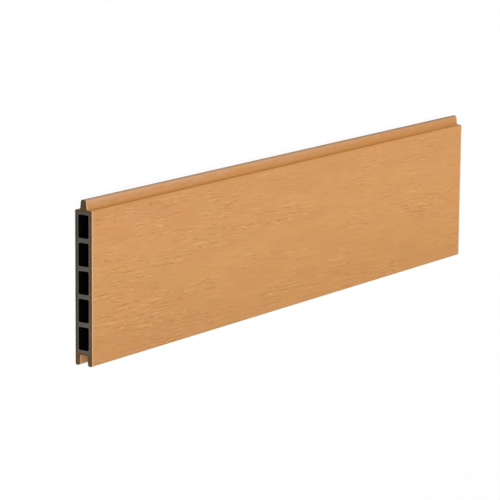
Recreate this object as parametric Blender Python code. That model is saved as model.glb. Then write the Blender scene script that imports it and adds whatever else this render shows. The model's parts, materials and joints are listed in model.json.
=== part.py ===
# Composite fence board: one hollow extrusion of wood-plastic composite, cut square at both ends.
# It lies flat on its back face. X runs along the board, Y across it towards the tongue, Z up
# through its thickness. The origin is under the middle of the board, on the floor. Metres.

import math

import bpy
from mathutils import Vector

BOARD_LENGTH = 0.680
BOARD_THICKNESS = 0.020
FACE_WIDTH = 0.151  # what one board covers in a fence, from the leg tips to the shoulders

# The row of cells, from the groove up to the shoulders
CELL_COUNT = 5
WALL = 0.0038  # behind the two broad faces
WEB = 0.0045  # between the cells, over the first and under the last
CELL_RADIUS = 0.0015

# The tongue that stands on the shoulders
TONGUE_HEIGHT = 0.010
TONGUE_BASE_WIDTH = 0.0080
TONGUE_TIP_WIDTH = 0.0058
TONGUE_NOSE_RADIUS = 0.0026
TONGUE_FOOT_RADIUS = 0.0012

# The groove that takes the tongue of the next board
TONGUE_END_CLEARANCE = 0.0005
TONGUE_SIDE_CLEARANCE = 0.0010
GROOVE_DRAFT = 0.0004  # how much nearer each leg comes at the groove's floor than at its mouth
GROOVE_FLOOR_RADIUS = 0.0010
LEAD_IN_RADIUS = 0.0020  # inner corner of a leg's tip, which guides the tongue in

EDGE_RADIUS = 0.0016  # outer corners of the shoulders and of the leg tips
ARC_STEP = math.radians(11.25)

BODY_COLOUR = (0.66, 0.33, 0.13, 1.0)
BODY_ROUGHNESS = 0.62


def arc_points(before, corner, after, radius):
    """Points of the round that joins two straight sides at a corner, limited by the shorter side."""
    back = (before - corner).normalized()
    ahead = (after - corner).normalized()
    half_angle = back.angle(ahead) / 2
    room = 0.49 * min((before - corner).length, (after - corner).length)
    setback = min(radius / math.tan(half_angle), room)
    radius = setback * math.tan(half_angle)
    centre = corner + (back + ahead).normalized() * math.hypot(setback, radius)
    first = corner + back * setback - centre
    turn = math.pi - 2 * half_angle
    if back.cross(ahead) > 0:
        turn = -turn
    steps = max(2, math.ceil(abs(turn) / ARC_STEP))
    points = []
    for step in range(steps + 1):
        angle = turn * step / steps
        cosine, sine = math.cos(angle), math.sin(angle)
        spoke = Vector((first.x * cosine - first.y * sine, first.x * sine + first.y * cosine))
        points.append(centre + spoke)
    return points


def rounded_outline(corners):
    """A closed outline through corners given as (y, z, radius), with every corner rounded."""
    places = [Vector((y, z)) for y, z, _ in corners]
    outline = []
    for index, (_, _, radius) in enumerate(corners):
        after = places[(index + 1) % len(places)]
        outline += arc_points(places[index - 1], places[index], after, radius)
    return outline


def mirrored(half):
    """The corners of a half section at the back, followed by the same corners at the front."""
    front = [(y, BOARD_THICKNESS - z, radius) for y, z, radius in reversed(half)]
    return half + front


def section_corners():
    """The board's outer outline: leg, shoulder and tongue at the back, then the same at the front."""
    leg_tip = -(FACE_WIDTH + TONGUE_HEIGHT) / 2
    shoulder = leg_tip + FACE_WIDTH
    tongue_tip = shoulder + TONGUE_HEIGHT
    groove_floor = leg_tip + TONGUE_HEIGHT + TONGUE_END_CLEARANCE
    middle = BOARD_THICKNESS / 2
    groove_side = middle - TONGUE_BASE_WIDTH / 2 - TONGUE_SIDE_CLEARANCE
    return mirrored([
        (groove_floor, groove_side + GROOVE_DRAFT, GROOVE_FLOOR_RADIUS),
        (leg_tip, groove_side, LEAD_IN_RADIUS),
        (leg_tip, 0.0, EDGE_RADIUS),
        (shoulder, 0.0, EDGE_RADIUS),
        (shoulder, middle - TONGUE_BASE_WIDTH / 2, TONGUE_FOOT_RADIUS),
        (tongue_tip, middle - TONGUE_TIP_WIDTH / 2, TONGUE_NOSE_RADIUS),
    ])


def cell_corners():
    """The outline of each cell, from the groove to the shoulders."""
    leg_tip = -(FACE_WIDTH + TONGUE_HEIGHT) / 2
    groove_floor = leg_tip + TONGUE_HEIGHT + TONGUE_END_CLEARANCE
    shoulder = leg_tip + FACE_WIDTH
    pitch = (shoulder - groove_floor - WEB) / CELL_COUNT
    cells = []
    for index in range(CELL_COUNT):
        low = groove_floor + WEB + index * pitch
        high = low + pitch - WEB
        cells.append(mirrored([(low, WALL, CELL_RADIUS), (high, WALL, CELL_RADIUS)]))
    return cells


def add_outline(curve, corners):
    """Adds one closed spline to the section. Splines inside the first one become holes."""
    points = rounded_outline(corners)
    spline = curve.splines.new("POLY")
    spline.points.add(len(points) - 1)
    for point, place in zip(spline.points, points):
        point.co = (place.x, place.y, 0.0, 1.0)
    spline.use_cyclic_u = True


def composite():
    """Matt wood-plastic composite in a light cedar brown."""
    material = bpy.data.materials.new("wood_composite")
    material.use_nodes = True
    shader = material.node_tree.nodes["Principled BSDF"]
    shader.inputs["Base Color"].default_value = BODY_COLOUR
    shader.inputs["Roughness"].default_value = BODY_ROUGHNESS
    shader.inputs["Metallic"].default_value = 0.0
    material.diffuse_color = BODY_COLOUR
    return material


def fence_board(collection):
    """Fills the section and extrudes it both ways along the board."""
    curve = bpy.data.curves.new("fence_board", "CURVE")
    curve.dimensions = "2D"
    curve.fill_mode = "BOTH"
    curve.extrude = BOARD_LENGTH / 2
    add_outline(curve, section_corners())
    for corners in cell_corners():
        add_outline(curve, corners)
    curve.materials.append(composite())
    board = bpy.data.objects.new("fence_board", curve)
    board.rotation_euler = (math.pi / 2, 0.0, math.pi / 2)  # section into the YZ plane
    collection.objects.link(board)
    return board


def main():
    for obj in list(bpy.data.objects):
        bpy.data.objects.remove(obj, do_unlink=True)
    collection = bpy.data.collections.new("composite_fence_board")
    bpy.context.scene.collection.children.link(collection)
    fence_board(collection)


main()
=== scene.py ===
# %% [markdown]
# # A hollow fence board of wood-plastic composite
# The real board comes out of a die in one endless piece. A core of wood flour and plastic leaves
# the die with a thin cedar-coloured skin around it, a roller presses a wood grain into its two broad
# faces, and a saw cuts it to length. This lesson follows the same order: first the section, then the
# length, then the grain, and last the colours, the light and the camera.

# %% [markdown]
# ## The frame that the board has to fit
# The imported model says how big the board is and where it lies. It lies flat on the floor: X runs
# along it, Y runs across it towards the tongue, and Z points up, out of the face that the picture
# shows. The sizes could be typed in, but reading them from the model keeps the two the same.

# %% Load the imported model
import json
import math

import bmesh
import bpy
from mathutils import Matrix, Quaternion, Vector

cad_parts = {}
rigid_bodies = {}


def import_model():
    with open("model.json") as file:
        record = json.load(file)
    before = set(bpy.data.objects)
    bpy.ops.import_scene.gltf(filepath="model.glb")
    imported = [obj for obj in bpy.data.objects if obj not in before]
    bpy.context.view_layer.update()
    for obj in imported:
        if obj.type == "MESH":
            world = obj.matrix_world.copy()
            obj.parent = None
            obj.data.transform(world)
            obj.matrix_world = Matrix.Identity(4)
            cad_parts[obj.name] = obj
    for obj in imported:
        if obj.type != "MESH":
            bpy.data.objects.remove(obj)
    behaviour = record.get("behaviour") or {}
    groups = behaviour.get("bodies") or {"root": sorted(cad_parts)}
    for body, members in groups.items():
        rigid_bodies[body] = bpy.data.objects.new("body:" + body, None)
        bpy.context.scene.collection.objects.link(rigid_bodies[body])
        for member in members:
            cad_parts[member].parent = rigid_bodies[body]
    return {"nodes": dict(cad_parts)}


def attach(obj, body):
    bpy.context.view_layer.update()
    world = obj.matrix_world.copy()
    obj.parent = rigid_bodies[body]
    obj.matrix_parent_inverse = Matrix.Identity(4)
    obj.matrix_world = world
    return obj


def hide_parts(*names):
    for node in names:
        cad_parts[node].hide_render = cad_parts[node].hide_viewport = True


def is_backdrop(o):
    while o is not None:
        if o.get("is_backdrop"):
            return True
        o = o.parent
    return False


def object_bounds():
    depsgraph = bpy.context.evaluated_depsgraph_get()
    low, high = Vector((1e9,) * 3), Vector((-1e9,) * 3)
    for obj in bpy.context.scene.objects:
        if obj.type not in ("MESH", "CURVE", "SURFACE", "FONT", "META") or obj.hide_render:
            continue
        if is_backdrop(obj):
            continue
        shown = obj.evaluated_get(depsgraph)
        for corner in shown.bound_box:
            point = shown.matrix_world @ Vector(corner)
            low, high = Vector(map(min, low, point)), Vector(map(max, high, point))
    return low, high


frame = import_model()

packed_low, packed_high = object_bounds()
print("packed parts:", sorted(frame["nodes"]))


# %% Name the board's ends and edges
def millimetres(lengths):
    """Lengths in metres, turned to rounded millimetres for a message."""
    return [round(length * 1000, 2) for length in lengths]


NEAR_END, LEG_TIPS, BACK_FACE = packed_low
FAR_END, TONGUE_TIP, SHOWN_FACE = packed_high
BOARD_LENGTH = FAR_END - NEAR_END
THICKNESS = SHOWN_FACE - BACK_FACE
MIDDLE = (SHOWN_FACE + BACK_FACE) / 2
print("length, width and thickness:", millimetres((BOARD_LENGTH, TONGUE_TIP - LEG_TIPS, THICKNESS)))

# %% [markdown]
# ## A plane for the outline
# The opening of a die is a flat drawing, and so is the board's section. It could be traced point by
# point, but a plane is a quicker start, because its edges are straight and its corners square. It
# stands at the near end, from the tips of the legs to the shoulders. The tongue is added to it later.

# %% Stand a plane at the near end
TONGUE_HEIGHT = 0.0100
SHOULDERS = TONGUE_TIP - TONGUE_HEIGHT


def add_upright_plane(low_y, high_y, height):
    """Adds a plane that faces along X at the near end, and scales it to its size in edit mode."""
    centre = (NEAR_END, (low_y + high_y) / 2, MIDDLE)
    turn = (0.0, -math.pi / 2, 0.0)
    bpy.ops.mesh.primitive_plane_add(size=1.0, enter_editmode=True, location=centre, rotation=turn)
    bpy.ops.transform.resize(value=(1.0, high_y - low_y, height), center_override=centre)


bpy.ops.object.select_all(action="DESELECT")
add_upright_plane(LEG_TIPS, SHOULDERS, THICKNESS)
board = bpy.context.object
board.name = "grained_fence_board"
bpy.ops.object.mode_set(mode="OBJECT")
bpy.ops.object.transform_apply(location=True, rotation=True, scale=True)
print("plane:", millimetres(board.dimensions))
bpy.ops.object.mode_set(mode="EDIT")

# %% [markdown]
# ## Selecting by place
# By hand, one would click on the corners to change. A script says where they are instead, and that
# still holds when a size changes. The helper works in edit mode: it deselects everything, selects
# what passes a test, and says how many it found.

# %% Write the selection helpers
SAME_PLACE = 0.00001


def at(one, other):
    """Whether two coordinates are the same, give or take a hundredth of a millimetre."""
    return abs(one - other) < SAME_PLACE


def edited_mesh():
    """The mesh that is in edit mode."""
    return bmesh.from_edit_mesh(bpy.context.object.data)


def select(kind, test):
    """Selects the vertices, edges or faces that pass the test, and nothing else."""
    bpy.ops.mesh.select_mode(type={"verts": "VERT", "edges": "EDGE", "faces": "FACE"}[kind])
    bpy.ops.mesh.select_all(action="DESELECT")
    passed = [element for element in getattr(edited_mesh(), kind) if test(element)]
    for element in passed:
        element.select_set(True)
    bmesh.update_edit_mesh(bpy.context.object.data)
    return len(passed)


print("corners at the shoulders:", select("verts", lambda v: at(v.co.y, SHOULDERS)))

# %% [markdown]
# ## The tongue and the groove
# The tongue stands on the shoulders, and fits the groove of the next board. A boolean could join it
# on, but it leaves stray points. Here each short edge of the plane is cut in five instead. Pulling
# the middle fifth out makes the tongue, and pushing it in on the other side makes the groove. The
# tongue narrows towards its tip, so that it slips in easily, and the groove narrows with it.

# %% Pull out the tongue
TONGUE_FOOT_WIDTH = 0.0080
TONGUE_TIP_WIDTH = 0.0058
EDGE_PARTS = 5


def scale_pair(edge_y, step, width):
    """Spreads the two points that lie step parts from the ends of an edge to the given width."""
    inset = step * THICKNESS / EDGE_PARTS
    low, high = BACK_FACE + inset, SHOWN_FACE - inset
    select("verts", lambda v: at(v.co.y, edge_y) and (at(v.co.z, low) or at(v.co.z, high)))
    centre = (NEAR_END, edge_y, MIDDLE)
    bpy.ops.transform.resize(value=(1.0, 1.0, width / (high - low)), center_override=centre)


def shape_edge(edge_y, depth, outer_width, inner_width):
    """Cuts a short edge of the outline in five, and moves its middle fifth by depth along Y."""
    select("edges", lambda e: all(at(v.co.y, edge_y) for v in e.verts))
    bpy.ops.mesh.subdivide(number_cuts=EDGE_PARTS - 1)
    scale_pair(edge_y, step=2, width=inner_width)
    bpy.ops.transform.translate(value=(0.0, depth, 0.0))
    scale_pair(edge_y, step=1, width=outer_width)


shape_edge(SHOULDERS, TONGUE_HEIGHT, outer_width=TONGUE_FOOT_WIDTH, inner_width=TONGUE_TIP_WIDTH)
print("points of the outline with its tongue:", len(edited_mesh().verts))

# %% Push in the groove
GROOVE_DEPTH = 0.0105
GROOVE_FLOOR = LEG_TIPS + GROOVE_DEPTH
GROOVE_MOUTH_WIDTH = 0.0100
GROOVE_FLOOR_WIDTH = 0.0092

shape_edge(LEG_TIPS, GROOVE_DEPTH, outer_width=GROOVE_MOUTH_WIDTH, inner_width=GROOVE_FLOOR_WIDTH)
print("points of the outline with its groove:", len(edited_mesh().verts))

# %% [markdown]
# ## Rounded corners
# Molten composite doesn't fill a sharp corner, so every corner of the real section is round. Bevel,
# set to vertices, rounds the corners of a flat shape, and its offset is how far from the corner the
# round begins. The inner corners of the leg tips are rounder than the outer ones, because they
# lead the next tongue in, and the tongue's nose is nearly a half circle.

# %% Round the outline's corners
EDGE_RADIUS = 0.0016
LEAD_IN_RADIUS = 0.0020
GROOVE_FLOOR_RADIUS = 0.0010
TONGUE_FOOT_RADIUS = 0.0012
TONGUE_NOSE_SETBACK = 0.0023


def round_corners(corner_y, half_width, setback, steps):
    """Rounds the pair of corners that lie at corner_y, half_width to each side of the middle."""
    select("verts", lambda v: at(v.co.y, corner_y) and at(abs(v.co.z - MIDDLE), half_width))
    bpy.ops.mesh.bevel(offset=setback, segments=steps, affect="VERTICES", clamp_overlap=False)


round_corners(LEG_TIPS, THICKNESS / 2, EDGE_RADIUS, steps=6)
round_corners(SHOULDERS, THICKNESS / 2, EDGE_RADIUS, steps=6)
round_corners(LEG_TIPS, GROOVE_MOUTH_WIDTH / 2, LEAD_IN_RADIUS, steps=6)
round_corners(GROOVE_FLOOR, GROOVE_FLOOR_WIDTH / 2, GROOVE_FLOOR_RADIUS, steps=4)
round_corners(SHOULDERS, TONGUE_FOOT_WIDTH / 2, TONGUE_FOOT_RADIUS, steps=4)
round_corners(TONGUE_TIP, TONGUE_TIP_WIDTH / 2, TONGUE_NOSE_SETBACK, steps=6)
print("points of the rounded outline:", len(edited_mesh().verts))

# %% [markdown]
# ## The cut through the skin
# On the sawn end, the skin shows as a thin line around the core. Two outlines, one inside the other,
# would make that line, and Inset makes just this: a strip of even width along the whole outline. The
# face inside the strip is deleted, because the cells have to be cut out of it. Its edge stays, marked
# as a seam, so that it is easy to find again.

# %% Inset the rim of the skin
SKIN_THICKNESS = 0.0006

bpy.ops.mesh.select_all(action="SELECT")
bpy.ops.mesh.inset(thickness=SKIN_THICKNESS, depth=0.0)
bpy.ops.mesh.mark_seam(clear=False)
bpy.ops.mesh.delete(type="ONLY_FACE")
print("faces of the rim:", len(edited_mesh().faces))

# %% [markdown]
# ## The five cells
# A row of cells makes the board light, and leaves a web between each two that keeps its faces apart.
# Every cell is one more upright plane with rounded corners, made in the same mesh. Only its edges
# are kept, marked as seams like the rim's.

# %% Draw the cells
CELL_COUNT = 5
WALL = 0.0038
WEB = 0.0045
CELL_PITCH = (SHOULDERS - GROOVE_FLOOR - WEB) / CELL_COUNT
CELL_RADIUS = 0.0015

for index in range(CELL_COUNT):
    cell_low = GROOVE_FLOOR + WEB + index * CELL_PITCH
    cell_high = cell_low + CELL_PITCH - WEB
    add_upright_plane(cell_low, cell_high, THICKNESS - 2 * WALL)
    bpy.ops.mesh.bevel(offset=CELL_RADIUS, segments=5, affect="VERTICES")
    bpy.ops.mesh.select_linked()
    bpy.ops.mesh.mark_seam(clear=False)
    bpy.ops.mesh.delete(type="ONLY_FACE")
print("each cell:", millimetres((CELL_PITCH - WEB, THICKNESS - 2 * WALL)))

# %% [markdown]
# ## The face of the core
# What is left to close is the core itself, between the rim and the cells. Fill takes all edges that
# are selected, and makes faces of the space between the outer loop and the loops inside it. The four
# materials are made here, because the core's faces are easy to name while they are still selected.

# %% Fill the core around the cells
SKIN, CORE, CELL_WALL, RIM = range(4)

for name in ("cedar_skin", "sawn_core", "cell_wall", "sawn_rim"):
    board.data.materials.append(bpy.data.materials.new(name))


def give_material(slot):
    """Gives the selected faces the material in this slot."""
    board.active_material_index = slot
    bpy.ops.object.material_slot_assign()


print("edges around the core:", select("edges", lambda e: e.seam))
bpy.ops.mesh.fill(use_beauty=True)
give_material(CORE)
bpy.ops.mesh.select_all(action="SELECT")
bpy.ops.mesh.mark_seam(clear=True)
print("faces of the flat section:", len(edited_mesh().faces))

# %% [markdown]
# ## The length
# One extrusion of the flat section makes every wall at once, as the die does. The first sheet stays
# behind as the near end, and the moved copy becomes the far end. Blender can't know which side of a
# flat sheet is outside, so the normals are worked out again once the board is closed.

# %% Extrude the board
bpy.ops.mesh.extrude_region_move(TRANSFORM_OT_translate={"value": (BOARD_LENGTH, 0.0, 0.0)})
bpy.ops.mesh.select_all(action="SELECT")
bpy.ops.mesh.normals_make_consistent(inside=False)
print("faces of the extruded board:", len(edited_mesh().faces))

# %% [markdown]
# ## Which face is what
# The extrusion gave each new wall the material of the edge's neighbour. So the walls of the cells
# and the rim at the two ends are picked out again: by where they are, and by the way they face. A
# face painted by place keeps its material when the board is cut into a grid later.


# %% Line the cells and mark the rim
def in_cells(place):
    """Whether a point is on a cell's wall, and not on the skin."""
    in_row = GROOVE_FLOOR + WEB / 2 < place.y < SHOULDERS - WEB / 2
    return in_row and abs(place.z - MIDDLE) < THICKNESS / 2 - WALL / 2


def on_sawn_end(face):
    """Whether a face is part of a sawn end."""
    return abs(face.normal.x) > 0.5


def lines_cell(face):
    """Whether a face is part of a cell's wall."""
    return not on_sawn_end(face) and all(in_cells(v.co) for v in face.verts)


print("faces of the cells' walls:", select("faces", lines_cell))
give_material(CELL_WALL)
rim_faces = select("faces", lambda f: on_sawn_end(f) and f.material_index == SKIN)
print("faces of the rim at both ends:", rim_faces)
give_material(RIM)

# %% [markdown]
# ## Rows and columns for the grain
# The grain is pressed in later, and a pressed mark needs points that can move. The skin is cut
# across about every four millimetres, which is short against the length of a grain mark. The two
# broad faces are also cut lengthwise, every half millimetre on the shown face and every millimetre
# on the back. The cells stay as long plain faces, since nothing is pressed into them. Subdivide
# makes at most a hundred cuts at once, so every edge is cut in two rounds.

# %% Cut the skin across
LENGTHWISE_CUTS = (16, 10)


def cut_edges(test, parts):
    """Cuts the edges that pass the test into as many parts as the product of parts, step by step."""
    for number in parts:
        select("edges", test)
        bpy.ops.mesh.subdivide(number_cuts=number - 1)


def runs_along(edge):
    """Whether an edge of the skin runs along the board."""
    first, last = (v.co for v in edge.verts)
    return not at(first.x, last.x) and not in_cells(first)


cut_edges(runs_along, LENGTHWISE_CUTS)
print("faces with the rows:", len(edited_mesh().faces))

# %% Cut the broad faces lengthwise
SHOWN_FACE_CUTS = (15, 20)
BACK_FACE_CUTS = (14, 10)


def crosses(edge, face_z):
    """Whether an edge lies in a broad face and runs across it."""
    first, last = (v.co for v in edge.verts)
    return at(first.x, last.x) and at(first.z, face_z) and at(last.z, face_z)


cut_edges(lambda e: crosses(e, SHOWN_FACE), SHOWN_FACE_CUTS)
cut_edges(lambda e: crosses(e, BACK_FACE), BACK_FACE_CUTS)
print("faces with the columns:", len(edited_mesh().faces))
bpy.ops.object.mode_set(mode="OBJECT")

# %% [markdown]
# ## Where the roller presses
# The roller reaches only the flat of a broad face, and eases off where the edge rounds away. A
# vertex group can say how hard it presses at each point: fully inside, and not at all at the edge.
# Without it the marks would end in a sharp step at the edge.

# %% Weigh the two broad faces
ROLLER_MARGIN = 0.003


def weigh_face(name, face_z):
    """A vertex group of one broad face, with weights that fade over the margin at its long edges."""
    flat = [v for v in board.data.vertices if at(v.co.z, face_z)]
    low, high = min(v.co.y for v in flat), max(v.co.y for v in flat)
    group = board.vertex_groups.new(name=name)
    for vertex in flat:
        inset = min(vertex.co.y - low, high - vertex.co.y)
        group.add([vertex.index], min(1.0, inset / ROLLER_MARGIN), "REPLACE")
    print(name, "has", len(flat), "points")
    return name


shown_group = weigh_face("shown_face", SHOWN_FACE)
back_group = weigh_face("back_face", BACK_FACE)

# %% [markdown]
# ## Pressing the grain
# The grain is a relief up to a sixth of a millimetre deep. Sculpting it by hand would take hours.
# Displace moves points by the brightness of a texture, so a cloud texture will do. It reads its place
# from an empty that is stretched along the board, which draws the round clouds out into long grain,
# and a ramp keeps only the brightest parts as marks. With a middle level of nought every mark goes
# inwards, so the board never grows out of its size. The marks lean off the board's length, the
# long ones a little and the short ones more, so the empties are turned by as much.

# %% Cut the rollers
MARK_SLOPE = 0.12
LONG_LEAN = math.radians(0.8)
SHORT_LEAN = math.radians(3.0)


def cut_roller(name, mark_length, mark_width, lean, threshold, detail):
    """A texture of marks and the empty that stretches it. A mark is where a cloud is brightest."""
    pattern = bpy.data.textures.new(name, type="CLOUDS")
    pattern.noise_scale = 1.0
    pattern.noise_depth = detail
    pattern.use_color_ramp = True
    none, full = pattern.color_ramp.elements
    none.position, none.color = threshold, (0.0, 0.0, 0.0, 1.0)
    full.position, full.color = threshold + MARK_SLOPE, (1.0, 1.0, 1.0, 1.0)
    roller = bpy.data.objects.new(name + "_roller", None)
    roller.scale = (mark_length, mark_width, mark_width)
    roller.rotation_euler = (0.0, 0.0, -lean)
    bpy.context.scene.collection.objects.link(roller)
    print(name, "marks:", millimetres((mark_length, mark_width)))
    return pattern, roller


long_grain = cut_roller(
    "long_grain", mark_length=0.070, mark_width=0.0026, lean=LONG_LEAN, threshold=0.54, detail=1
)
fibre_marks = cut_roller(
    "fibre_marks", mark_length=0.018, mark_width=0.0024, lean=SHORT_LEAN, threshold=0.56, detail=2
)


# %% Press the long grain and the fibre marks
def press_grain(pattern, roller, depth):
    """Presses one kind of mark into both broad faces, to a depth in metres, and clears the roller."""
    for group, direction in ((shown_group, -1.0), (back_group, 1.0)):
        press = board.modifiers.new(pattern.name, "DISPLACE")
        press.texture = pattern
        press.texture_coords = "OBJECT"
        press.texture_coords_object = roller
        press.vertex_group = group
        press.direction = "Z"
        press.mid_level = 0.0
        press.strength = direction * depth
        bpy.ops.object.modifier_apply(modifier=press.name)
    bpy.data.objects.remove(roller)
    lowest = min(v.co.z for v in board.data.vertices if v.groups and v.co.z > MIDDLE)
    print("deepest point after", pattern.name, "is pressed in:", millimetres([SHOWN_FACE - lowest]))


press_grain(*long_grain, depth=0.00004)
press_grain(*fibre_marks, depth=0.00012)

# %% [markdown]
# ## Smooth rounds and sharp cuts
# The rounded corners and the pressed marks have to look smooth, and the edge of a saw cut has to
# stay sharp. Smooth shading by angle does both: it blends faces that meet at less than the given
# angle. Then the board is handed over: it rides on the model's one body, and takes the place of the
# packed board, which is hidden.

# %% Shade the board and hand it over
SHARPEST_BLEND = math.radians(30)

bpy.ops.object.shade_smooth_by_angle(angle=SHARPEST_BLEND)
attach(board, "root")
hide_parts("fence_board")
print("triangles of the board:", sum(len(face.vertices) - 2 for face in board.data.polygons))

# %% [markdown]
# ## Shader maths as Python
# A finish is a chain of nodes, and a chain is easier to read as a sum. This class wraps a socket, so
# that adding, subtracting or multiplying writes the Math node. Any other node comes from its one
# method, which takes the node's settings first and then what goes into its sockets.


# %% Write the wire
class Wire:
    """An output socket of a finish, with arithmetic that adds Math nodes behind it."""

    def __init__(self, socket):
        self.socket = socket

    def node(self, kind, settings, inputs, output=0):
        """Adds a node to the same finish, and returns one of its outputs."""
        tree = self.socket.id_data
        made = tree.nodes.new(kind)
        for name, value in settings.items():
            setattr(made, name, value)
        for key, value in inputs.items():
            if isinstance(value, Wire):
                tree.links.new(value.socket, made.inputs[key])
            else:
                made.inputs[key].default_value = value
        return Wire(made.outputs[output])

    def math(self, operation, first, second):
        """One Math node."""
        return self.node("ShaderNodeMath", {"operation": operation}, {0: first, 1: second})

    def __add__(self, other):
        return self.math("ADD", self, other)

    def __radd__(self, other):
        return self.math("ADD", other, self)

    def __sub__(self, other):
        return self.math("SUBTRACT", self, other)

    def __rsub__(self, other):
        return self.math("SUBTRACT", other, self)

    def __mul__(self, other):
        return self.math("MULTIPLY", self, other)

    def __rmul__(self, other):
        return self.math("MULTIPLY", other, self)

    def __abs__(self):
        return self.math("ABSOLUTE", self, 0.0)


print("a wire adds nodes for +, -, * and abs")


# %% Start the skin's finish
def start_finish(name, specular, roughness):
    """Turns on a material's nodes, sets its gloss, and returns its shader and the place on it."""
    material = bpy.data.materials[name]
    material.use_nodes = True
    shader = material.node_tree.nodes["Principled BSDF"]
    shader.inputs["Specular IOR Level"].default_value = specular
    shader.inputs["Roughness"].default_value = roughness
    coordinates = material.node_tree.nodes.new("ShaderNodeTexCoord")
    return shader, Wire(coordinates.outputs["Object"])


def axes(place):
    """The three numbers of a place: along the board, across it and up."""
    inputs = {"Vector": place}
    return [place.node("ShaderNodeSeparateXYZ", {}, inputs, output=index) for index in range(3)]


def count_nodes(name):
    """Prints how many nodes a finish has so far."""
    print(name, "has", len(bpy.data.materials[name].node_tree.nodes), "nodes")


skin, skin_place = start_finish("cedar_skin", specular=0.25, roughness=0.6)
along, across, height = axes(skin_place)
count_nodes("cedar_skin")

# %% [markdown]
# ## Masks from the board's own sizes
# Most of the finish depends on where a point is: on a broad face, near an end, or down in a pressed
# mark. A mask is a number that is one there and nought elsewhere. It could be painted, but the sizes
# above are already exact, so a smooth step between two of them is enough. How deep a point was
# pressed can also be read from its height, because the grain is real relief.


# %% Mark the broad faces and the pits
def fade(value, start, end):
    """Nought before start and one past end, with a smooth step between them."""
    settings = {"interpolation_type": "SMOOTHSTEP"}
    inputs = {"Value": value, "From Min": start, "From Max": end}
    return value.node("ShaderNodeMapRange", settings, inputs)


depth_below_face = THICKNESS / 2 - abs(height - MIDDLE)
on_broad_face = 1 - fade(depth_below_face, start=0.0003, end=0.0006)
pits = fade(depth_below_face, start=0.00002, end=0.00020) * on_broad_face
count_nodes("cedar_skin")

# %% Mark the way to the ends and edges
to_far_end = fade(along, start=NEAR_END, end=FAR_END)
to_near_end = 1 - fade(along, start=NEAR_END, end=FAR_END / 2)
to_tongue = fade(across, start=LEG_TIPS, end=SHOULDERS)
from_middle_line = abs(across - (LEG_TIPS + SHOULDERS) / 2)
to_long_edges = fade(from_middle_line, start=0.010, end=0.070)
count_nodes("cedar_skin")

# %% [markdown]
# ## The ground of the skin
# The pigment of the real skin isn't stirred in evenly. Seen from near, the brown drifts between a
# redder, a sandier and a duller one. It is a little redder by the long edges, and turns more golden
# along the board. One flat colour would look like paint. Here stretched noise mixes the three
# browns, softly, because they differ by only a few shades. A Mix node has sockets of its own for
# colours, which have the same names as its others, so they are told apart by their numbers.

# %% Write the noise
CLOUD_HEIGHT = 0.05


def clouds(place, size, shift, detail, crispness=0.5):
    """Noise around a half, in clumps of a size in metres along X, Y and Z. The shift is its seed."""
    placing = {"Vector": place, "Location": [shift] * 3, "Scale": [1 / side for side in size]}
    moved = place.node("ShaderNodeMapping", {}, placing)
    inputs = {"Vector": moved, "Scale": 1.0, "Detail": detail, "Roughness": crispness}
    return place.node("ShaderNodeTexNoise", {}, inputs)


def patches(place, length, width, shift, detail, crispness=0.5):
    """Noise on the skin, in patches of a length and width in metres."""
    return clouds(place, (length, width, CLOUD_HEIGHT), shift, detail, crispness)


ruddy_patches = patches(skin_place, length=0.050, width=0.018, shift=5.2, detail=3, crispness=0.6)
dull_patches = patches(skin_place, length=0.040, width=0.015, shift=1.4, detail=3, crispness=0.6)
count_nodes("cedar_skin")

# %% Mix the browns of the ground
RUDDY_SKIN = (0.6590, 0.2890, 0.0930, 1.0)
SANDY_SKIN = (0.6000, 0.3070, 0.0945, 1.0)
DULL_SKIN = (0.6250, 0.2980, 0.1050, 1.0)
GOLDEN_SKIN = (0.6360, 0.2930, 0.0800, 1.0)
GOLDEN_SHARE = 0.6
MIX_SHARE, MIX_FIRST, MIX_SECOND, MIX_RESULT = 0, 6, 7, 2


def mix_colours(share, first, second):
    """The first colour where the share is nought, and the second where it is one."""
    inputs = {MIX_SHARE: share, MIX_FIRST: first, MIX_SECOND: second}
    return share.node("ShaderNodeMix", {"data_type": "RGBA"}, inputs, output=MIX_RESULT)


# Each weight says how much redder a place is. The last number brings the sum back to about a half.
ruddy = fade(ruddy_patches, start=0.38, end=0.62) * 0.7
ruddy = ruddy + to_tongue * 0.10 + to_far_end * 0.30 + to_long_edges * 0.45 - 0.26
dull = fade(dull_patches, start=0.38, end=0.62)
colour = mix_colours(dull, mix_colours(ruddy, SANDY_SKIN, RUDDY_SKIN), DULL_SKIN)
colour = mix_colours(to_far_end * GOLDEN_SHARE, colour, GOLDEN_SKIN)
count_nodes("cedar_skin")

# %% Darken the clouds and the pits
DEEP_SKIN = (0.440, 0.185, 0.050, 1.0)
CLOUD_SHARE = 0.16
TONGUE_SIDE_SHADE_SHARE = 0.03
PIT_SHADE_SHARE = 0.25

dark_clouds = patches(skin_place, length=0.060, width=0.015, shift=8.3, detail=4, crispness=0.6)
cloudy = fade(dark_clouds, start=0.35, end=0.65) * on_broad_face
# The clouds are the skin's own darker tone. Painted shade: the skin is also a little darker towards
# the tongue side.
colour = mix_colours(cloudy * CLOUD_SHARE + to_tongue * TONGUE_SIDE_SHADE_SHARE, colour, DEEP_SKIN)
# Painted shade: the pressed pits are painted darker.
colour = mix_colours(pits * PIT_SHADE_SHARE, colour, DEEP_SKIN)
count_nodes("cedar_skin")

# %% [markdown]
# ## Short marks in flocks
# The roller also presses short fine ripples into the skin, like ripples in sand. Each has a pale and
# a
# dark side: painted highlight and painted shade over a real bump. They come in flocks, with calmer
# skin between them. Noise alone gives blots, so the strokes start from a sine across the board, which
# noise bends a little. A second noise breaks it into strokes, and a third gathers them in flocks,
# which are denser and pressed harder by the near end.

# %% Draw the short marks
RIPPLE_SPACING = 0.0042
RIPPLE_BEND = 17


def sine(value):
    """The sine of an angle in radians."""
    return value.node("ShaderNodeMath", {"operation": "SINE"}, {0: value})


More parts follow.
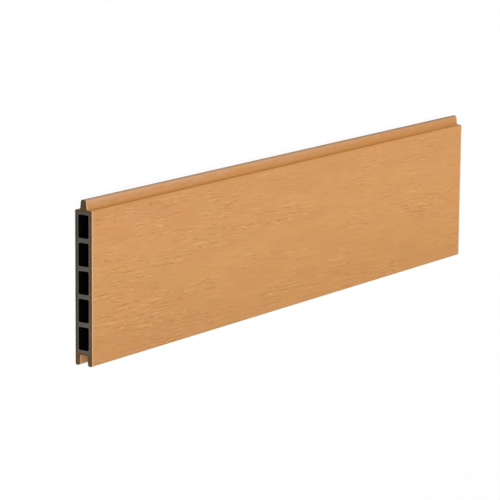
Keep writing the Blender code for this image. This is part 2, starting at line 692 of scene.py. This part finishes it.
def leaning(angle):
    """The place on the board, turned so that what is drawn along X leans by an angle."""
    turn = {"Vector": skin_place, "Rotation": (0.0, 0.0, angle)}
    return skin_place.node("ShaderNodeMapping", {}, turn)


short_place = leaning(SHORT_LEAN)
across_marks = axes(short_place)[1]
bend = patches(short_place, length=0.045, width=0.012, shift=7.7, detail=1) * RIPPLE_BEND
ripples = sine(across_marks * (2 * math.pi / RIPPLE_SPACING) + bend)
stroke_patches = patches(short_place, length=0.012, width=0.0025, shift=2.3, detail=1)
strokes = fade(stroke_patches, start=0.53, end=0.63)
count_nodes("cedar_skin")

# %% Gather the short marks in flocks
NEAR_CROWDING = 0.04


def between(mask, at_nought, at_one):
    """A number that goes from one value to another as the mask goes from nought to one."""
    return at_nought + mask * (at_one - at_nought)


crowding = patches(skin_place, length=0.090, width=0.030, shift=0.7, detail=2)
crowding = crowding + to_near_end * NEAR_CROWDING
pressure = between(to_near_end, 0.80, 1.05)
flocks = fade(crowding, start=0.43, end=0.60) * pressure * on_broad_face
pale_marks = fade(ripples, start=0.2, end=1.0) * strokes * flocks
dark_marks = (1 - fade(ripples, start=-1.0, end=-0.1)) * strokes * flocks
count_nodes("cedar_skin")

# %% [markdown]
# ## Long streaks
# Between the flocks run fainter lines as long as a hand, where wood flour was drawn along the die.
# They need no sine, since very long narrow noise already looks like them. Its high parts are the
# pale lines and its low parts the dark ones, and a broader noise says where there are any. All
# marks are as brown as the skin around them, and only paler or darker.

# %% Add the streaks and colour the marks
STREAK_AND_HIGHLIGHT_SKIN = (0.788, 0.440, 0.190, 1.0)
STREAK_AND_SHADE_SKIN = (0.450, 0.165, 0.022, 1.0)
STREAK_AND_HIGHLIGHT_SHARE = 0.43
STREAK_AND_SHADE_SHARE = 0.53
PALE_STREAK_STRENGTH = 0.3
DARK_STREAK_STRENGTH = 0.5

long_place = leaning(LONG_LEAN)
lines = patches(long_place, length=0.070, width=0.0014, shift=2.9, detail=1)
streak_patches = patches(long_place, length=0.150, width=0.010, shift=6.4, detail=2)
streaks = fade(streak_patches, start=0.45, end=0.60) * on_broad_face
pale_lines = fade(lines, start=0.58, end=0.78) * streaks
dark_lines = (1 - fade(lines, start=0.22, end=0.42)) * streaks
pale_marks = pale_marks + pale_lines * PALE_STREAK_STRENGTH
dark_marks = dark_marks + dark_lines * DARK_STREAK_STRENGTH
# Painted shade and painted highlight: the dark and pale sides of the ripples, together with the long
# streaks' own darker and paler lines.
colour = mix_colours(dark_marks * STREAK_AND_SHADE_SHARE, colour, STREAK_AND_SHADE_SKIN)
colour = mix_colours(pale_marks * STREAK_AND_HIGHLIGHT_SHARE, colour, STREAK_AND_HIGHLIGHT_SKIN)
count_nodes("cedar_skin")

# %% [markdown]
# ## The tongue and the shoulders
# No roller reaches the tongue, so it has no grain, only dusty drifts and faint dark flecks from the
# die. It is painted a deeper, darker orange-brown than the faces, most of all at its foot and towards
# the far end: painted shade. Its nose is painted paler as a painted highlight, and the edges of the
# shoulders are painted paler as painted light that lifts their shade.

# %% Colour the tongue
TONGUE_SHADE_SKIN = (0.530, 0.220, 0.030, 1.0)

on_tongue = fade(across, start=SHOULDERS + 0.0003, end=SHOULDERS + 0.0012)
on_foot = 1 - fade(across, start=SHOULDERS + 0.0010, end=TONGUE_TIP - 0.0020)
# Painted shade: the tongue is darker at its foot and towards the far end.
tongue_shade = between(to_far_end, 0.15, 0.75) * between(on_foot, 0.4, 1.0) * on_tongue
colour = mix_colours(tongue_shade, colour, TONGUE_SHADE_SKIN)
count_nodes("cedar_skin")

# %% Dust and fleck the tongue
DUSTY_SKIN = (0.640, 0.350, 0.220, 1.0)
FLECK_SHARE = 0.30

dust_patches = patches(skin_place, length=0.040, width=0.012, shift=3.8, detail=3, crispness=0.6)
drifts = between(fade(dust_patches, start=0.38, end=0.62), 0.08, 0.44)
dusty = drifts * between(on_foot, 1.0, 0.1) * between(to_far_end, 1.0, 0.3) * on_tongue
colour = mix_colours(dusty, colour, DUSTY_SKIN)
fleck_patches = patches(skin_place, length=0.012, width=0.003, shift=6.1, detail=3, crispness=0.6)
flecks = fade(fleck_patches, start=0.45, end=0.68) * on_tongue
colour = mix_colours(flecks * FLECK_SHARE, colour, DEEP_SKIN)
count_nodes("cedar_skin")

# %% Paint a highlight on the nose and light on the shoulders
NOSE_HIGHLIGHT_SKIN = (0.780, 0.470, 0.260, 1.0)
SHOULDER_LIGHT_SKIN = (0.840, 0.400, 0.110, 1.0)

on_nose = fade(across, start=TONGUE_TIP - 0.0035, end=TONGUE_TIP - 0.0012)
# Painted highlight: the nose is paler, most of all at the near end.
colour = mix_colours(on_nose * between(to_far_end, 0.60, 0.25), colour, NOSE_HIGHLIGHT_SKIN)
by_shoulders = fade(across, start=SHOULDERS - 0.0012, end=SHOULDERS - 0.0004)
# Painted light: the edges of the shoulders are paler, which lifts their shade.
colour = mix_colours(by_shoulders * (1 - on_tongue), colour, SHOULDER_LIGHT_SKIN)
count_nodes("cedar_skin")

# %% [markdown]
# ## The groove and the sawn edges
# Fine sawdust settles in the groove and makes it paler. At the two ends, a band of the skin about
# two millimetres wide along the saw cut is painted the palest thing on the board: a painted
# highlight on the cut edge, left to the colour.

# %% Dust the groove and paint a highlight on the cut edges
SAWDUST = (0.680, 0.425, 0.200, 1.0)
CUT_EDGE_HIGHLIGHT = (0.680, 0.425, 0.235, 1.0)
SAWDUST_SHARE = 0.8
CUT_EDGE_HIGHLIGHT_SHARE = 0.85

groove_side = GROOVE_MOUTH_WIDTH / 2
between_legs = 1 - fade(abs(height - MIDDLE), start=groove_side, end=groove_side + 0.0008)
beside_legs = 1 - fade(across, start=GROOVE_FLOOR, end=GROOVE_FLOOR + 0.001)
colour = mix_colours(between_legs * beside_legs * SAWDUST_SHARE, colour, SAWDUST)
# Painted highlight: a band along both sawn ends is paler.
cut_edge_highlight = fade(abs(along), start=FAR_END - 0.0026, end=FAR_END - 0.0010)
colour = mix_colours(cut_edge_highlight * CUT_EDGE_HIGHLIGHT_SHARE, colour, CUT_EDGE_HIGHLIGHT)
count_nodes("cedar_skin")

# %% [markdown]
# ## Fibres, relief and gloss
# Close up, the skin is not smooth plastic: wood fibres a third of a millimetre wide stand up in it,
# and the marks feel raised or sunk. Modelling the fibres would need millions of points, so they are a
# bump. The same fibres make the gloss uneven, because a bump alone would still shine like varnish.


# %% Join the colour, the relief and the gloss
FIBRE_SIZE = (0.006, 0.0003, 0.0003)
RELIEF_DEPTH = 0.00010
FIBRE_HEIGHT = 0.4
MARK_HEIGHT = 0.6


def plug(wire, shader, name):
    """Joins a wire to one of the shader's inputs."""
    wire.socket.id_data.links.new(wire.socket, shader.inputs[name])


def bumped(relief, depth):
    """A normal for a relief that runs from nought to one, and is depth metres deep."""
    return relief.node("ShaderNodeBump", {}, {"Strength": 1.0, "Distance": depth, "Height": relief})


fibres = clouds(skin_place, FIBRE_SIZE, shift=9.4, detail=3)
relief = fibres * FIBRE_HEIGHT + pale_marks * MARK_HEIGHT - dark_marks * MARK_HEIGHT
plug(colour, skin, "Base Color")
plug(bumped(relief, RELIEF_DEPTH), skin, "Normal")
plug(between(fibres, 0.5, 0.7), skin, "Roughness")
count_nodes("cedar_skin")

# %% [markdown]
# ## The sawn core
# The saw opens the core: a dark grey, with specks of wood flour. It isn't one grey. The blade drags
# some of the brown skin over the outer wall, the tongue and the legs, and the outside of the back
# wall is darker. Four soft masks on the board's own sizes place these.

# %% Mix the greys and browns of the core
CORE_COLOUR = (0.118, 0.105, 0.086, 1.0)
SHADED_CORE = (0.043, 0.043, 0.034, 1.0)
SMEARED_CORE = (0.115, 0.064, 0.023, 1.0)
SHADED_SHARE = 0.7

core, core_place = start_finish("sawn_core", specular=0.2, roughness=0.75)
along, across, height = axes(core_place)
by_back_face = 1 - fade(height, start=BACK_FACE + 0.0016, end=BACK_FACE + 0.0030)
by_shown_face = fade(height, start=SHOWN_FACE - 0.0036, end=SHOWN_FACE - 0.0015)
by_tongue = fade(across, start=SHOULDERS - 0.0045, end=SHOULDERS - 0.0005)
by_groove = 1 - fade(across, start=GROOVE_FLOOR, end=GROOVE_FLOOR + 0.004)
colour = mix_colours(by_back_face * SHADED_SHARE, CORE_COLOUR, SHADED_CORE)
colour = mix_colours(by_shown_face + by_tongue + by_groove, colour, SMEARED_CORE)
count_nodes("sawn_core")

# %% Sprinkle the core with wood flour
FLOUR_COLOUR = (0.220, 0.175, 0.120, 1.0)
SPECK_SIZE = (0.0006, 0.0006, 0.0006)
SPECK_SHARE = 0.4

specks = fade(clouds(core_place, SPECK_SIZE, shift=2.2, detail=2), start=0.56, end=0.66)
plug(mix_colours(specks * SPECK_SHARE, colour, FLOUR_COLOUR), core, "Base Color")
count_nodes("sawn_core")

# %% [markdown]
# ## The marks of the saw
# A round blade leaves faint arcs, all around the place where its axle stood. That is a pattern that
# needs no noise: the sine of the distance from the axle, measured flat in the plane of the cut. The
# arcs are far shallower than the grain, so a bump is enough for them.

# %% Saw the ends
BLADE_AXLE = (0.0, -0.060, 0.130)
SAW_MARK_SPACING = 0.0016
SAW_MARK_DEPTH = 0.00006
ARC_HEIGHT = 0.15
SPECK_HEIGHT = 0.25


def vector_math(operation, first, second, output=0):
    """One Vector Math node. Its second output is a number."""
    return first.node("ShaderNodeVectorMath", {"operation": operation}, {0: first, 1: second}, output)


in_cut = vector_math("MULTIPLY", core_place, (0.0, 1.0, 1.0))
from_axle = vector_math("DISTANCE", in_cut, BLADE_AXLE, output=1)
arcs = sine(from_axle * (2 * math.pi / SAW_MARK_SPACING))
relief = 0.5 + arcs * ARC_HEIGHT + specks * SPECK_HEIGHT
plug(bumped(relief, SAW_MARK_DEPTH), core, "Normal")
count_nodes("sawn_core")

# %% [markdown]
# ## The cut through the skin
# The rim is the skin in cross-section. It is a dark brown, so it frames the grey core with a thin
# dark brown line. It has a finish of its own, because one colour and a fine tooth are enough.

# %% Finish the rim
RIM_COLOUR = (0.060, 0.042, 0.024, 1.0)
TOOTH_SIZE = (0.0008, 0.0008, 0.0008)
TOOTH_DEPTH = 0.00006

rim, rim_place = start_finish("sawn_rim", specular=0.2, roughness=0.7)
rim.inputs["Base Color"].default_value = RIM_COLOUR
tooth = clouds(rim_place, TOOTH_SIZE, shift=8.5, detail=2)
plug(bumped(tooth, TOOTH_DEPTH), rim, "Normal")
count_nodes("sawn_rim")

# %% [markdown]
# ## Inside the cells
# No light reaches far into the cells, and the picture shows them black from their mouths on. Their
# walls are the bare core as it left the die, smooth and drawn out along the board, but painted near
# black, far darker than the grey core: painted shade. Long thin noise gives the drawn lines, once for
# the colour and once as a bump.

# %% Finish the cells' walls
# Painted shade: the walls and their drawn lines are near black.
CELL_SHADE_COLOUR = (0.0034, 0.0024, 0.0011, 1.0)
DRAWN_COLOUR = (0.0056, 0.0040, 0.0018, 1.0)
DRAWN_LINE_SIZE = (0.200, 0.0008, 0.0008)
DRAWN_LINE_DEPTH = 0.00003

wall, wall_place = start_finish("cell_wall", specular=0.02, roughness=0.8)
drawn_lines = clouds(wall_place, DRAWN_LINE_SIZE, shift=4.6, detail=2)
drawn_colour = mix_colours(fade(drawn_lines, start=0.4, end=0.7), CELL_SHADE_COLOUR, DRAWN_COLOUR)
plug(drawn_colour, wall, "Base Color")
plug(bumped(drawn_lines, DRAWN_LINE_DEPTH), wall, "Normal")
count_nodes("cell_wall")

# %% [markdown]
# ## The floor
# The board lies on a large sheet of paper. A plane is all it takes, a hair's breadth below the board,
# because two faces in the same place would flicker. It is marked as stage, since it isn't part of
# the board.

# %% Lay the floor
FLOOR_SIZE = 12.0
FLOOR_DROP = 0.0003

bpy.ops.object.select_all(action="DESELECT")
bpy.ops.mesh.primitive_plane_add(size=FLOOR_SIZE, location=(0.0, 0.0, BACK_FACE - FLOOR_DROP))
floor = bpy.context.object
floor.name = "studio_floor"
bpy.ops.object.transform_apply(location=True, rotation=True, scale=True)
paper = bpy.data.materials.new("studio_paper")
paper.use_nodes = True
floor.data.materials.append(paper)
floor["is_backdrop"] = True
print("floor is", FLOOR_SIZE, "m wide")

# %% [markdown]
# ## A white that only the picture sees
# The paper fades into a white background. Paper lit until it is white would throw too much light
# back at the board, so the rays that make the picture find white there, and all other rays find a
# plain grey. Rays from a mirror or through glass belong to the picture too. A white that only glows
# would lose the board's shadow, and the board would seem to float. So a little real paper is mixed
# in, which still takes the soft shadow.

# %% Whiten the paper
WHITE = (1.0, 1.0, 1.0, 1.0)
PAPER_GREY = (0.50, 0.50, 0.50, 1.0)
GLOW_SHARE = 0.92
GLOW_STRENGTH = 1.03


def seen_in_picture(tree):
    """One for rays from the camera or by a mirror or glass, and nought for all other rays."""
    light_path = tree.nodes.new("ShaderNodeLightPath")
    rays = ("Is Camera Ray", "Is Glossy Ray", "Is Transmission Ray")
    direct, glossy, through = (Wire(light_path.outputs[name]) for name in rays)
    return direct + glossy + through


tree = paper.node_tree
tree.nodes.remove(tree.nodes["Principled BSDF"])
seen = seen_in_picture(tree)
grey_paper = seen.node("ShaderNodeBsdfDiffuse", {}, {"Color": PAPER_GREY})
white_paper = seen.node("ShaderNodeBsdfDiffuse", {}, {"Color": WHITE})
glow = seen.node("ShaderNodeEmission", {}, {"Color": WHITE, "Strength": GLOW_STRENGTH})
seen_paper = seen.node("ShaderNodeMixShader", {}, {0: GLOW_SHARE, 1: white_paper, 2: glow})
floor_shader = seen.node("ShaderNodeMixShader", {}, {0: seen, 1: grey_paper, 2: seen_paper})
tree.links.new(floor_shader.socket, tree.nodes["Material Output"].inputs["Surface"])
count_nodes("studio_paper")

# %% [markdown]
# ## The sky
# Soft light from all around fills the shadows, as the walls of a white studio do. The world gives it
# without any walls to build. Its level is low, so that a colour on the board renders about as it is
# written, and the picture's rays find pure white behind the floor's edge.

# %% Fill the sky
SKY_LEVEL = 0.42

world = bpy.data.worlds.new("studio_sky")
bpy.context.scene.world = world
world.use_nodes = True
tree = world.node_tree
tree.nodes.remove(tree.nodes["Background"])
seen = seen_in_picture(tree)
dim_sky = seen.node("ShaderNodeBackground", {}, {"Color": WHITE, "Strength": SKY_LEVEL})
white_sky = seen.node("ShaderNodeBackground", {}, {"Color": WHITE, "Strength": 1.0})
sky = seen.node("ShaderNodeMixShader", {}, {0: seen, 1: dim_sky, 2: white_sky})
tree.links.new(sky.socket, tree.nodes["World Output"].inputs["Surface"])
print("sky level away from the picture:", SKY_LEVEL)

# %% [markdown]
# ## The two lamps
# The shown face is a little brighter by the tongue than by the groove, and even from end to end. A
# far lamp would light it all the same, and a small one would make a round spot. So a strip much
# longer than the board hangs low above it, tilted to the tongue's side. The sawn end gets little of
# that light, so a small low lamp of its own stands before the near end.

# %% Hang the strip light and the low light
STRIP_DISTANCE = 0.28
STRIP_TILT = math.radians(7)
STRIP_PLACE = STRIP_DISTANCE * Vector((0.0, math.sin(STRIP_TILT), math.cos(STRIP_TILT)))
STRIP_AIM = Vector((0.0, 0.0, 0.0))
LOW_LIGHT_PLACE = Vector((-0.550, -0.220, 0.035))
LOW_LIGHT_AIM = Vector((-0.340, -0.050, 0.010))


def hang_light(name, place, aim, length, width, power):
    """Hangs a soft lamp of the given size in metres and power in watts, turned to its aim."""
    lamp_data = bpy.data.lights.new(name, "AREA")
    lamp_data.shape = "RECTANGLE"
    lamp_data.size = length
    lamp_data.size_y = width
    lamp_data.energy = power
    lamp = bpy.data.objects.new(name, lamp_data)
    lamp.location = place
    lamp.rotation_euler = (aim - place).to_track_quat("-Z", "Y").to_euler()
    lamp.visible_camera = False
    bpy.context.scene.collection.objects.link(lamp)
    print(name, "shines from", round((aim - place).length, 3), "m away")


hang_light("strip_light", STRIP_PLACE, STRIP_AIM, length=3.0, width=0.12, power=3.04)
hang_light("low_light", LOW_LIGHT_PLACE, LOW_LIGHT_AIM, length=0.12, width=0.04, power=0.22)

# %% [markdown]
# ## The camera
# The picture looks at the board's near end and shown face through a long lens. The board lies down
# here, so the camera looks down on it and is rolled by nearly a right angle: the top of the picture
# is then the board's tongue side. Its place was found by matching the board's straight edges. The
# lens and the sensor are in millimetres, as they are in Blender.

# %% Place the camera
CAMERA_PLACE = Vector((-2.3300, 0.5447, 1.5907))
CAMERA_AIM = Vector((-0.0793, -0.0082, 0.0200))
CAMERA_ROLL = math.radians(98.378)
LENS_LENGTH = 197.1
SENSOR_WIDTH = 36.0

camera_data = bpy.data.cameras.new("picture_camera")
camera_data.sensor_width = SENSOR_WIDTH
camera_data.lens = LENS_LENGTH
camera = bpy.data.objects.new("picture_camera", camera_data)
camera.location = CAMERA_PLACE
upright = (CAMERA_AIM - CAMERA_PLACE).to_track_quat("-Z", "Y")
camera.rotation_euler = (upright @ Quaternion((0.0, 0.0, 1.0), CAMERA_ROLL)).to_euler()
bpy.context.scene.collection.objects.link(camera)
bpy.context.scene.camera = camera
bpy.context.scene.view_settings.view_transform = "Standard"
print("camera stands", round((CAMERA_AIM - CAMERA_PLACE).length, 3), "m from the board")

# %% [markdown]
# ## The size once more
# A part is only of use at its real size, so the dressed board is measured again and its size printed,
# as the imported one's was. The two should differ by no more than the depth of the grain.

# %% Measure the size once more
visual_low, visual_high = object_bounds()
print("visual board:", millimetres(visual_high - visual_low))
